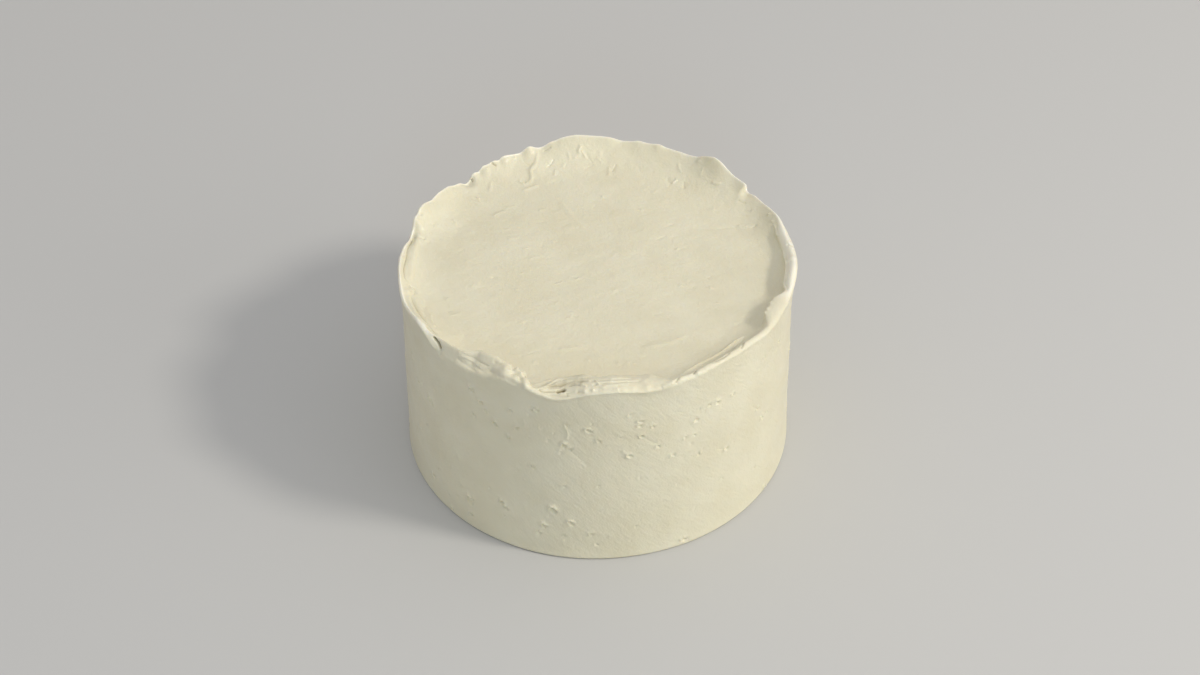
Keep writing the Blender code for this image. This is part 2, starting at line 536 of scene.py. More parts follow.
        top = along >= TOP_START
        radius[top] = foot[top] * (MIDDLE - along[top])
        height[top] = self.top_at(radius[top], angle[top])

        turn = np.radians(angle)
        return np.stack([radius * np.cos(turn), radius * np.sin(turn), height], axis=-1)

    @staticmethod
    def curve(guide: np.ndarray, place: np.ndarray) -> np.ndarray:
        """Follow the smooth curve through the guide points.

        Args:
            guide: the guide points of each cut.
            place: how far along them to go, 1 for each pair.

        Returns:
            A pair of radius and height for each cut.
        """
        last = guide.shape[1] - 1
        start = np.minimum(place.astype(int), last - 1)
        part = (place - start)[:, None]
        row = np.arange(len(guide))
        a, b, c, d = (guide[row, np.clip(start + step, 0, last)] for step in (-1, 0, 1, 2))
        cubic = 2.0 * a - 5.0 * b + 4.0 * c - d + part * (3.0 * (b - c) + d - a)
        return b + 0.5 * part * (c - a + part * cubic)

    def locate(self, zone: Zone, first: np.ndarray, second: np.ndarray) -> tuple[np.ndarray, np.ndarray]:
        """Turn a zone's own way of giving places into angles and places along the cut.

        Args:
            zone: the zone.
            first: the angle, or x on the top.
            second: the height, the place along the lip, or y on the top.

        Returns:
            The angles and the places along the cut.
        """
        if zone is Zone.LIP:
            return first, LIP_START + second
        if zone is Zone.SIDE:
            lip_start = self.lip_guide(first)[:, 0, 1]
            return first, SIDE_START + second / lip_start
        angle = np.degrees(np.arctan2(second, first)) % 360.0
        foot = self.lip_guide(angle)[:, -1, 0]
        return angle, MIDDLE - np.hypot(first, second) / foot


@dataclass(frozen=True)
class Line:
    """A line drawn in the cream: a smear's ridge, a cut, or the edge of a sheet.

    The points are pairs in the zone's own way of giving places, with lengths in millimetres.
    """

    zone: Zone
    relief: Relief
    points: tuple
    half_width: float
    rise: float

    steps_for_point: ClassVar[int] = 6
    shortest: ClassVar[float] = 1e-12
    edge_share: ClassVar[float] = 0.55
    top_spare: ClassVar[float] = 0.35
    lip_spare: ClassVar[float] = 1.3
    reach_widths: ClassVar[float] = 2.6
    sheet_reach_widths: ClassVar[float] = 8.0
    sheet_edge: ClassVar[float] = 0.7
    sheet_fade: ClassVar[float] = 3.0
    furrow_power: ClassVar[float] = 1.4
    end_share: ClassVar[float] = 0.18
    end_rise: ClassVar[float] = 0.25

    def path(self, form: CakeForm) -> tuple[np.ndarray, float, float]:
        """Lay the line on the smooth skin.

        Args:
            form: the cake's form.

        Returns:
            Its points in space, and the lowest and highest place along the cut.
        """
        given = np.array(self.points, dtype=float) * self.zone.unit()
        steps = np.linspace(0.0, len(given) - 1.0, self.steps_for_point * len(given))
        smooth = CakeForm.curve(np.repeat(given[None], len(steps), axis=0), steps)
        angle, along = form.locate(self.zone, smooth[:, 0], smooth[:, 1])
        return form.place(angle % 360.0, along), along.min(), along.max()

    def reach(self) -> float:
        """Return how far from its middle the line changes the surface."""
        widths = self.sheet_reach_widths if self.relief is Relief.SHEET else self.reach_widths
        return widths * self.half_width

    def near(self, skin: Skin, path: np.ndarray, low: float, high: float) -> np.ndarray:
        """Find the points that the line can touch.

        Args:
            skin: the points.
            path: the line's own points in space.
            low: the lowest place along the cut that it has.
            high: the highest.

        Returns:
            The numbers of those points.
        """
        spare = self.top_spare if self.zone is Zone.TOP else self.lip_spare
        reach = self.reach()
        inside = (skin.along > low - spare) & (skin.along < high + spare)
        for axis in range(3):
            value = skin.point[:, axis]
            inside &= (value > path[:, axis].min() - reach) & (value < path[:, axis].max() + reach)
        return np.nonzero(inside)[0]

    def offset(self, skin: Skin, form: CakeForm) -> tuple[np.ndarray, np.ndarray, np.ndarray]:
        """Measure how far points lie from the line.

        Args:
            skin: the points.
            form: the cake's form.

        Returns:
            The numbers of the points near it, how far each is from it, with a minus sign on its
            right side, and how far along the line the nearest spot is, from 0 to 1.
        """
        path, low, high = self.path(form)
        chosen = self.near(skin, path, low, high)
        here = skin.point[chosen]
        best = np.full(len(chosen), np.inf)
        sign = np.ones(len(chosen))
        run = np.zeros(len(chosen))
        outward = np.array([0.0, 0.0, 1.0])
        pieces = len(path) - 1
        for number in range(pieces):
            start, step = path[number], path[number + 1] - path[number]
            share = np.clip((here - start) @ step / max(step @ step, self.shortest), 0.0, 1.0)
            gap = here - start - share[:, None] * step
            distance = np.linalg.norm(gap, axis=1)
            closer = distance < best
            best[closer] = distance[closer]
            sign[closer] = np.where(gap[closer] @ np.cross(outward, step) >= 0.0, 1.0, -1.0)
            run[closer] = (number + share[closer]) / pieces
        return chosen, best * sign, run

    def raise_skin(self, skin: Skin, form: CakeForm) -> tuple[np.ndarray, np.ndarray]:
        """Work out what the line adds to the surface.

        Args:
            skin: the points.
            form: the cake's form.

        Returns:
            The numbers of the points that it changes, and how far each moves outwards.
        """
        chosen, offset, run = self.offset(skin, form)
        across = np.abs(offset) / self.half_width
        if self.relief is Relief.SHEET:
            lifted = smooth_step(offset / (self.sheet_edge * self.half_width) + 0.5)
            profile = lifted * np.exp(-np.maximum(offset, 0.0) / (self.sheet_fade * self.half_width))
        elif self.relief is Relief.FURROW:
            profile = -np.exp(-(across**self.furrow_power))
        else:
            profile = np.exp(-(across**2))
        ends = smooth_step(np.minimum(run, 1.0 - run) / self.end_share + self.end_rise)
        return chosen, self.rise * profile * ends


class PitSize(Enum):
    """Small hollows left in the smoothed cream by air bubbles: half width and depth."""

    TINY = (0.00022, 0.00014)
    SMALL = (0.00034, 0.00034)
    MEDIUM = (0.00048, 0.00050)
    LARGE = (0.00070, 0.00066)


@dataclass(frozen=True)
class Pit:
    """A burst bubble in the side, dragged out a little by the scraper."""

    angle: float
    height: float
    size: PitSize
    drag: float
    turn: float
    strength: float = 1.0

    edge_share: ClassVar[float] = 0.42
    reach_widths: ClassVar[float] = 3.0
    highest_place: ClassVar[float] = 5.0
    hollow_power: ClassVar[float] = 2.4
    lopsidedness: ClassVar[float] = 0.8
    rim_height: ClassVar[float] = 0.38
    rim_place: ClassVar[float] = 1.5
    rim_width: ClassVar[float] = 0.45

    @property
    def half_width(self) -> float:
        """Return half the width of the hollow."""
        return self.size.value[0]

    def raise_skin(self, skin: Skin, form: CakeForm) -> tuple[np.ndarray, np.ndarray]:
        """Work out what the pit adds to the surface.

        Args:
            skin: the points.
            form: the cake's form.

        Returns:
            The numbers of the points that it changes, and how far each moves outwards.
        """
        half_width, depth = self.size.value
        reach = self.reach_widths * half_width * self.drag
        across = np.radians(angle_between(skin.angle, self.angle)) * form.base_radius
        up = skin.point[:, 2] - self.height
        on_side = (skin.along > SIDE_START) & (skin.along < self.highest_place)
        chosen = np.nonzero(on_side & (np.abs(across) < reach) & (np.abs(up) < reach))[0]
        tilt = math.radians(self.turn)
        length = across[chosen] * math.cos(tilt) + up[chosen] * math.sin(tilt)
        width = up[chosen] * math.cos(tilt) - across[chosen] * math.sin(tilt)
        out = np.hypot(length / (half_width * self.drag), width / half_width)
        hollow = -np.exp(-(out**self.hollow_power))
        lopsided = 1.0 - self.lopsidedness * np.tanh(length / half_width)
        rim = self.rim_height * lopsided * np.exp(-(((out - self.rim_place) / self.rim_width) ** 2))
        return chosen, self.strength * depth * (hollow + rim)


@dataclass(frozen=True)
class Lump:
    """A rounded bump, or a hollow with a minus sign, anywhere on the skin."""

    zone: Zone
    first: float
    second: float
    half_width: float
    rise: float

    edge_share: ClassVar[float] = 0.55
    reach_widths: ClassVar[float] = 2.6
    top_spare: ClassVar[float] = 0.35
    lip_spare: ClassVar[float] = 1.6

    def raise_skin(self, skin: Skin, form: CakeForm) -> tuple[np.ndarray, np.ndarray]:
        """Work out what the lump adds to the surface.

        Args:
            skin: the points.
            form: the cake's form.

        Returns:
            The numbers of the points that it changes, and how far each moves outwards.
        """
        first, second = np.array([self.first, self.second]) * self.zone.unit()
        angle, along = form.locate(self.zone, np.array([first]), np.array([second]))
        middle = form.place(angle, along)[0]
        gap = np.linalg.norm(skin.point - middle, axis=1)
        spare = self.top_spare if self.zone is Zone.TOP else self.lip_spare
        close = (gap < self.reach_widths * self.half_width) & (np.abs(skin.along - along[0]) < spare)
        chosen = np.nonzero(close)[0]
        return chosen, self.rise * np.exp(-((gap[chosen] / self.half_width) ** 2))


@dataclass
class CreamMarks:
    """Everything that the spatula, the scraper and air bubbles left in the cream.

    Pairs are ranges to draw between, in degrees, millimetres or places along the lip, except that
    the heading is a mean and its spread. The hidden heights end with the commonest one.
    """

    seed: int = 11
    steep_until: float = 265.0
    steep_turn: float = -60.0
    even_turn: float = -42.0
    turn_spread: float = 18.0
    seen_drag: tuple = (1.1, 1.9)
    shaded_until: float = 262.0
    shaded_strength: float = 1.4
    seen_strength: float = 1.1
    hidden_pits: int = 70
    hidden_start: float = 345.0
    hidden_span: float = 220.0
    hidden_shares: tuple = (6, 4, 1)
    hidden_heights: tuple = (3.0, 54.0, 46.0)
    hidden_drag: tuple = (1.1, 2.0)
    hidden_strength: float = 0.7
    tiny_pits: int = 200
    tiny_heights: tuple = (3.0, 55.0)
    tiny_drag: tuple = (1.0, 3.0)
    drawn_turn: tuple = (-70.0, -25.0)

    top_strokes: int = 60
    top_reach: float = 44.0
    top_fill: tuple = (0.02, 1.0)
    top_heading: tuple = (24.0, 13.0)
    top_half_length: tuple = (0.5, 1.7)
    top_half_width: tuple = (0.22, 0.4)
    top_rise: tuple = (0.06, 0.15)
    slope_strokes: int = 34
    slope_angles: tuple = (18.0, 158.0)
    slope_places: tuple = (6.2, 8.4)
    slope_lean: float = 1.6
    slope_drop: tuple = (0.2, 0.6)
    slope_half_width: tuple = (0.25, 0.5)
    slope_rise: tuple = (0.1, 0.3)
    lower_share: float = 0.6

    def pits(self) -> list[Pit]:
        """Make the pits of the side: those seen from the front, and others like them all round.

        Returns:
            The pits.
        """
        tiny, small, medium, large = PitSize.TINY, PitSize.SMALL, PitSize.MEDIUM, PitSize.LARGE
        seen = (
            (232.0, 53.0, medium), (235.1, 50.1, medium), (236.7, 47.8, small), (239.8, 44.6, medium),
            (232.5, 44.0, small), (244.0, 41.3, small), (245.0, 51.4, small), (246.4, 45.7, small),
            (252.6, 54.0, small), (251.0, 32.7, small), (248.6, 26.5, tiny), (255.8, 43.8, tiny),
            (260.3, 42.6, medium), (262.3, 41.3, small), (267.5, 48.3, medium), (270.2, 44.7, small),
            (270.0, 28.1, tiny), (278.9, 53.5, small), (282.0, 50.6, small), (281.8, 49.1, small),
            (285.7, 48.0, small), (282.4, 45.2, medium), (278.9, 38.6, medium), (287.2, 40.4, small),
            (291.7, 35.7, small), (290.8, 28.0, tiny), (299.0, 45.7, medium), (295.5, 40.8, small),
            (298.4, 40.5, small), (303.3, 49.1, small), (306.1, 48.6, medium), (312.0, 48.4, small),
            (304.2, 33.8, tiny), (300.0, 32.5, small), (309.8, 29.4, medium), (323.4, 35.2, small),
            (326.3, 29.7, medium), (329.0, 30.0, small), (326.3, 51.8, small), (336.0, 50.6, small),
            (212.5, 36.3, medium), (217.8, 30.0, tiny), (215.0, 12.2, tiny), (212.0, 7.5, small),
            (229.2, 10.0, large), (230.2, 11.2, small), (229.7, 5.0, medium), (240.9, 15.8, medium),
            (242.2, 14.0, medium), (256.8, 17.7, large), (253.9, 11.3, medium), (252.4, 8.2, small),
            (262.0, 13.6, medium), (260.0, 8.5, tiny), (267.8, 9.8, small), (273.3, 8.4, tiny),
            (295.5, 2.0, medium), (329.0, 1.2, medium), (221.3, 1.6, small),
        )
        draw = random.Random(self.seed)
        made = []
        for angle, height, size in seen:
            steep = self.steep_turn if angle < self.steep_until else self.even_turn
            turn = steep + draw.uniform(-self.turn_spread, self.turn_spread)
            strength = self.shaded_strength if angle < self.shaded_until else self.seen_strength
            made.append(Pit(angle, height * MM, size, draw.uniform(*self.seen_drag), turn, strength))
        for _ in range(self.hidden_pits):
            angle = (self.hidden_start + draw.uniform(0.0, self.hidden_span)) % 360.0
            size = draw.choices((small, medium, large), self.hidden_shares)[0]
            height = draw.triangular(*self.hidden_heights) * MM
            drag, turn = draw.uniform(*self.hidden_drag), draw.uniform(*self.drawn_turn)
            made.append(Pit(angle, height, size, drag, turn, self.hidden_strength))
        for _ in range(self.tiny_pits):
            angle, height = draw.uniform(0.0, 360.0), draw.uniform(*self.tiny_heights) * MM
            drag, turn = draw.uniform(*self.tiny_drag), draw.uniform(*self.drawn_turn)
            made.append(Pit(angle, height, tiny, drag, turn))
        return made

    @staticmethod
    def lines(zone: Zone, rows: tuple | list) -> list[Line]:
        """Turn rows of relief, half width and rise in millimetres, and points into lines."""
        return [Line(zone, row[0], row[3:], row[1] * MM, row[2] * MM) for row in rows]

    def lip_lines(self) -> list[Line]:
        """Make the lines in the lip, going round from the left to the right.

        Returns:
            The lines.
        """
        ridge, furrow, sheet = Relief.RIDGE, Relief.FURROW, Relief.SHEET
        rows = (
            # Left: a second, broad ridge inside the crest, with a groove between, and a knot on it
            (furrow, 0.26, 0.60, (164, 4.9), (168, 5.1), (172, 5.3), (177, 5.5), (182, 5.4), (187, 5.5)),
            (ridge, 0.90, 0.60, (162, 5.6), (168, 5.85), (174, 6.05), (180, 6.1), (187, 6.05)),
            (furrow, 0.26, 0.36, (188.2, 5.7), (189.0, 6.4), (190.5, 6.5), (192.3, 6.1)),
            (furrow, 0.28, 0.50, (192.5, 5.85), (198, 5.9), (205, 5.95), (210, 6.0), (214, 5.85)),
            (ridge, 0.60, 0.45, (193, 5.4), (199, 5.35), (206, 5.2), (212, 4.9)),
            (ridge, 0.70, 0.25, (193, 6.3), (199, 6.35), (206, 6.5), (212, 6.6)),
            (furrow, 0.25, 0.36, (164.4, 5.1), (164.1, 5.8), (163.7, 6.6)),
            (furrow, 0.40, 0.22, (197, 7.0), (200, 6.7), (204, 6.3)),
            (ridge, 0.45, 0.22, (201, 7.2), (205, 6.8), (209, 6.4)),
            # The short dark crack where the thin outer ridge ends on the ironed band
            (furrow, 0.21, 1.90, (215.7, 3.75), (217.2, 3.5), (218.3, 3.3), (219.3, 3.0)),
            (ridge, 0.50, 0.45, (206, 3.6), (210, 3.4), (213, 3.0), (215, 2.6), (218, 2.3)),
            (furrow, 0.34, 0.36, (219.3, 3.0), (219.6, 2.5), (219.9, 2.0)),
            # Front left: the ironed band, its inner edge, and streaks of the spatula aslant on it
            (furrow, 0.24, 0.26, (224.8, 4.5), (226.5, 4.1), (229.5, 3.6), (234, 3.35), (237, 3.3)),
            (furrow, 0.24, 0.20, (226, 3.2), (230, 2.75), (234, 2.4)),
            (furrow, 0.22, 0.18, (228, 3.45), (232.5, 3.0), (236, 2.7)),
            (ridge, 0.30, 0.14, (227, 3.6), (231, 3.2), (235, 2.95)),
            (ridge, 0.65, 0.40, (225, 4.9), (229, 4.6), (233, 4.3), (236, 4.35), (239, 4.6), (241, 4.8)),
            (sheet, 0.32, 0.26, (222.6, 5.6), (222.8, 4.9), (223.8, 4.4), (226.5, 4.1)),
            # The thick lumpy roll that follows it, with a crease across and knots on it
            (ridge, 0.80, 0.45, (240.6, 3.3), (243, 3.4), (246, 3.4), (249, 3.3), (252.6, 3.1)),
            (furrow, 0.50, 0.16, (237, 3.05), (240, 3.0), (244, 3.05), (248, 2.95)),
            (furrow, 0.34, 0.50, (244.6, 3.75), (246.2, 3.95), (247.2, 3.85), (248, 3.55)),
            (furrow, 0.30, 0.40, (243.8, 4.95), (244.4, 4.5), (244.3, 4.1)),
            (furrow, 0.30, 0.40, (248.4, 4.95), (248.7, 4.4), (248.4, 4.1)),
            (ridge, 0.65, 0.40, (241.6, 4.1), (243.2, 3.85), (244.6, 4.0)),
            (ridge, 0.60, 0.45, (244.8, 4.6), (246, 4.3), (247.4, 4.25)),
            (ridge, 0.60, 0.45, (248.2, 3.95), (249.6, 3.7), (250.8, 3.4)),
            # The curl: its thin crest, the hollow inside it, the slit and the dark hole at its end
            (ridge, 0.42, 0.36, (251.6, 2.9), (255.5, 3.05), (257.8, 2.95), (260, 2.9), (262.5, 2.95)),
            (furrow, 0.60, 0.32, (256.2, 3.32), (258, 3.3), (260, 3.22), (262, 3.2)),
            (furrow, 0.26, 0.60, (253.5, 4.1), (254.5, 3.6), (256.4, 3.6), (258.2, 3.62)),
            (furrow, 0.38, 1.75, (258.2, 3.6), (259.2, 3.68), (260.1, 3.74), (260.4, 3.6)),
            # The free edge of the fold, which starts at the roll, and creases that run beside it
            (ridge, 0.40, 0.18, (250.2, 6.4), (251.4, 7.3), (252.8, 7.85), (254.2, 8.2)),
            (furrow, 0.24, 0.26, (254.2, 5.0), (256.4, 4.55), (260, 4.68), (264.2, 4.55), (269.2, 4.5)),
            (furrow, 0.28, 0.36, (254.6, 4.3), (257.5, 4.2), (260.8, 4.38), (263, 4.42), (266.2, 4.2),
             (269.2, 4.15)),
            (furrow, 0.26, 0.30, (255.6, 3.95), (257.6, 3.92), (259.4, 4.0)),
            (furrow, 0.28, 0.28, (261.4, 4.1), (263.4, 4.05), (265.2, 3.85)),
            (furrow, 0.28, 0.30, (260.9, 3.46), (263, 3.42), (264.9, 3.36)),
            # Front: knots and long creases on the torn band
            (ridge, 0.30, 0.36, (264.9, 4.0), (266.0, 3.82), (267.0, 3.68)),
            (ridge, 0.32, 0.32, (269.4, 4.3), (270.0, 4.0), (270.8, 3.75)),
            (ridge, 0.45, 0.26, (270.6, 3.5), (273.0, 3.62), (275.6, 3.55)),
            (furrow, 0.24, 0.32, (269.4, 4.4), (272.2, 4.32), (276, 4.3), (281, 4.4)),
            (furrow, 0.26, 0.30, (268.6, 3.8), (271, 3.95), (274.2, 3.92), (278, 4.0), (283, 4.05)),
            (furrow, 0.26, 0.28, (269.8, 3.3), (272.4, 3.35), (274.4, 3.3)),
            (ridge, 0.50, 0.40, (288, 3.15), (290, 3.3), (291.6, 3.7)),
            # Front right: small cuts across the smooth band, and a thin ledge inside it
            (furrow, 0.30, 0.60, (292.1, 3.4), (292.8, 4.0), (293.5, 4.9)),
            (furrow, 0.35, 0.60, (297.7, 4.1), (298.6, 4.7), (299.4, 5.2)),
            (furrow, 0.30, 0.40, (305, 4.7), (308, 4.35), (311, 4.6)),
            (furrow, 0.28, 0.40, (314.8, 3.7), (316.0, 4.5), (317.5, 5.1)),
            (ridge, 0.35, 0.60, (297, 7.1), (301, 7.2), (304.5, 7.45), (309, 7.35), (313.5, 7.3),
             (318, 7.4), (322, 7.4), (325, 7.2)),
            (furrow, 0.35, 0.50, (298, 6.5), (305, 6.7), (311, 6.6), (318, 6.9), (323, 6.8)),
            # Right: the thick wall's sunken inner edge, and a step in its rim
            (ridge, 0.36, 0.36, (343.5, 4.8), (347, 5.0), (351, 5.0), (356, 5.0), (361, 5.0),
             (366.5, 5.0)),
            (furrow, 0.30, 0.50, (4.8, 3.5), (5.8, 3.8), (6.3, 4.3)),
            (ridge, 0.36, 0.30, (13, 4.9), (15.5, 5.2), (18, 5.5)),
            # Back left: the edge of a fold that runs down the slope onto the top
            (ridge, 0.50, 0.38, (108.5, 5.2), (109.0, 5.7), (109.8, 6.2), (110.8, 6.65), (112.9, 7.15),
             (113.5, 7.75), (114.8, 8.15), (116.4, 8.28), (118.4, 8.3)),
            (furrow, 0.30, 0.60, (122.8, 5.4), (123.4, 4.9), (123.6, 4.3)),
            (furrow, 0.28, 0.45, (131.8, 5.2), (131.6, 4.6)),
            (furrow, 0.28, 0.30, (104, 5.3), (106.5, 5.3)),
            (ridge, 0.40, 0.35, (94.5, 5.7), (95.3, 6.0), (95.6, 6.3)),
        )
        return self.lines(Zone.LIP, rows)

    def side_lines(self) -> list[Line]:
        """Make the creases that the scraper dragged down to the right in the side.

        Returns:
            The lines.
        """
        ridge, furrow = Relief.RIDGE, Relief.FURROW
        rows = (
            (ridge, 0.28, 0.14, (260.3, 50.2), (261.2, 48.4), (261.5, 46.6), (261.0, 44.6)),
            (furrow, 0.30, 0.12, (282.6, 44.8), (284.6, 43.2), (287.6, 40.6)),
            (furrow, 0.30, 0.10, (262.7, 40.4), (265.0, 37.8), (267.2, 35.5)),
            (ridge, 0.30, 0.14, (276.4, 40.8), (277.8, 39.8), (278.8, 38.9)),
            (ridge, 0.25, 0.10, (248.7, 49.6), (249.0, 48.2), (249.1, 46.8)),
            (furrow, 0.35, 0.12, (320.5, 38.0), (323.0, 35.6), (325.5, 33.8)),
            (furrow, 0.30, 0.14, (306.8, 31.0), (309.0, 29.8), (311.0, 28.9)),
            (furrow, 0.35, 0.14, (332.0, 53.0), (336.0, 50.4), (339.0, 49.0)),
            (furrow, 0.35, 0.24, (228.8, 6.2), (229.8, 5.0), (230.8, 4.4)),
        )
        return self.lines(Zone.SIDE, rows)

    def top_lines(self) -> list[Line]:
        """Make the faint lines in the top.

        Returns:
            The lines.
        """
        ridge, furrow = Relief.RIDGE, Relief.FURROW
        rows = (
            (ridge, 0.50, 0.30, (-18, 42), (-17.5, 40), (-19, 38.5), (-21.5, 37.5)),
            (ridge, 0.45, 0.22, (-29, 25), (-27.5, 26.5), (-25.5, 27.5)),
            (ridge, 0.60, 0.14, (-10, 31), (-7, 25), (-3, 19.5)),
            (furrow, 0.55, 0.14, (27, 19), (33, 18.6), (39, 19.4), (44, 20)),
            (ridge, 0.60, 0.20, (-10, -31), (-7, -30.6), (-4, -30)),
            (ridge, 0.60, 0.20, (12, -30.5), (16, -29.6), (20, -28.4), (24, -26)),
            (furrow, 0.70, 0.12, (-32, -22), (-26, -25), (-19, -27)),
            (ridge, 0.90, 0.12, (-4, 9), (2, 4), (6, -3)),
        )
        return self.lines(Zone.TOP, rows)

    def strokes(self) -> list[Line]:
        """Make the many short strokes that the scraper left on the top and on the back slope.

        Returns:
            The lines.
        """
        draw = random.Random(self.seed + 1)
        reliefs = (Relief.RIDGE, Relief.RIDGE, Relief.FURROW)
        top, slope = [], []
        for _ in range(self.top_strokes):
            turn, fill = draw.uniform(0.0, math.tau), draw.uniform(*self.top_fill)
            reach = self.top_reach * math.sqrt(fill)
            x, y = reach * math.cos(turn), reach * math.sin(turn)
            heading, half = math.radians(draw.gauss(*self.top_heading)), draw.uniform(*self.top_half_length)
            dx, dy = half * math.cos(heading), half * math.sin(heading)
            relief = draw.choice(reliefs)
            sizes = draw.uniform(*self.top_half_width), draw.uniform(*self.top_rise)
            top.append((relief, *sizes, (x - dx, y - dy), (x, y), (x + dx, y + dy)))
        for _ in range(self.slope_strokes):
            angle, place = draw.uniform(*self.slope_angles), draw.uniform(*self.slope_places)
            lean, drop = draw.uniform(-self.slope_lean, self.slope_lean), draw.uniform(*self.slope_drop)
            relief = draw.choice(reliefs)
            sizes = draw.uniform(*self.slope_half_width), draw.uniform(*self.slope_rise)
            lower = (angle + lean, place + self.lower_share * drop)
            slope.append((relief, *sizes, (angle - lean, place - drop), (angle, place), lower))
        return self.lines(Zone.TOP, top) + self.lines(Zone.LIP, slope)

    def lumps(self) -> list[Lump]:
        """Make the knots and hollows of the lip and the specks of the top.

        Returns:
            The lumps.
        """
        lip, top = Zone.LIP, Zone.TOP
        knots = (
            (191.6, 5.5, 0.75, 0.70), (190.3, 5.95, 0.50, 0.35), (242.6, 3.75, 0.90, 0.40),
            (245.4, 4.45, 0.85, 0.45), (247.2, 4.15, 0.80, 0.35), (249.6, 4.3, 0.75, 0.45),
            (249.9, 3.55, 0.80, 0.45), (246.4, 3.45, 0.90, 0.35), (242.4, 4.6, 0.70, 0.30),
            (247.2, 4.85, 0.60, 0.35), (238.4, 3.8, 0.80, -0.40), (239.9, 4.05, 0.80, -0.50),
            (256.4, 4.3, 1.40, -0.60), (259.0, 4.3, 1.40, -0.65), (262.0, 4.2, 1.30, -0.50),
            (264.6, 4.25, 1.10, -0.25), (227.5, 3.3, 1.20, -0.30), (259.9, 3.72, 0.48, -1.10),
            (266.5, 3.3, 0.55, 0.60), (268.8, 3.35, 0.38, 0.50), (267.5, 4.2, 0.45, 0.28),
            (264.6, 3.4, 0.45, -0.20), (275.5, 3.3, 0.50, 0.30), (277.0, 3.4, 0.80, 0.22),
            (280.0, 3.5, 0.90, 0.28), (284.0, 3.4, 1.00, 0.30), (279.0, 3.8, 0.70, 0.20),
            (287.0, 3.3, 0.70, 0.22), (271.8, 3.45, 0.45, 0.20), (282.0, 3.9, 0.80, -0.20),
            (274.0, 4.2, 0.60, 0.18), (299.0, 3.6, 0.50, 0.25), (308.0, 4.6, 0.90, -0.25),
            (317.5, 4.9, 0.60, 0.25), (303.0, 4.8, 0.90, 0.22), (335.0, 4.9, 0.45, 0.40),
            (333.4, 5.0, 0.40, 0.40), (338.0, 5.0, 0.45, 0.30), (56.0, 5.3, 0.60, 0.25),
            (23.2, 5.3, 0.40, 0.35), (19.8, 5.5, 0.40, 0.30), (155.0, 5.6, 0.60, 0.25),
            (157.3, 5.3, 0.45, -0.30), (116.0, 5.2, 0.45, 0.25), (126.0, 5.2, 0.45, 0.25),
            (164.5, 7.0, 0.60, -0.18),
        )
        specks = (
            (-28.5, -1.5, 0.45, -0.25), (-34, -5, 0.45, 0.22), (-40.5, -10, 0.50, 0.22), (-5, -2, 0.40, 0.22),
            (-7, -1, 0.35, 0.18), (-20, -20, 0.45, 0.20), (-11, -12, 0.40, 0.20), (22.5, 10, 0.45, 0.28),
            (23, -5.5, 0.50, 0.28), (31, -6.5, 0.45, 0.25), (33, 27, 0.50, 0.24), (19.5, -2.5, 0.40, 0.20),
            (-2.5, -35.5, 0.45, 0.24), (5.5, -36.5, 0.40, 0.22), (8, -36.5, 0.40, 0.22), (2, 33, 0.45, 0.26),
            (13, 27, 0.45, 0.24), (-15, 12, 0.50, -0.14), (12, 18, 0.60, -0.12),
        )
        made = [Lump(lip, angle, place, wide * MM, tall * MM) for angle, place, wide, tall in knots]
        made += [Lump(top, x, y, wide * MM, tall * MM) for x, y, wide, tall in specks]
        return made

    def every(self) -> list[Line | Lump | Pit]:
        """Return every mark."""
        lines = [*self.lip_lines(), *self.side_lines(), *self.top_lines(), *self.strokes()]
        return [*lines, *self.lumps(), *self.pits()]


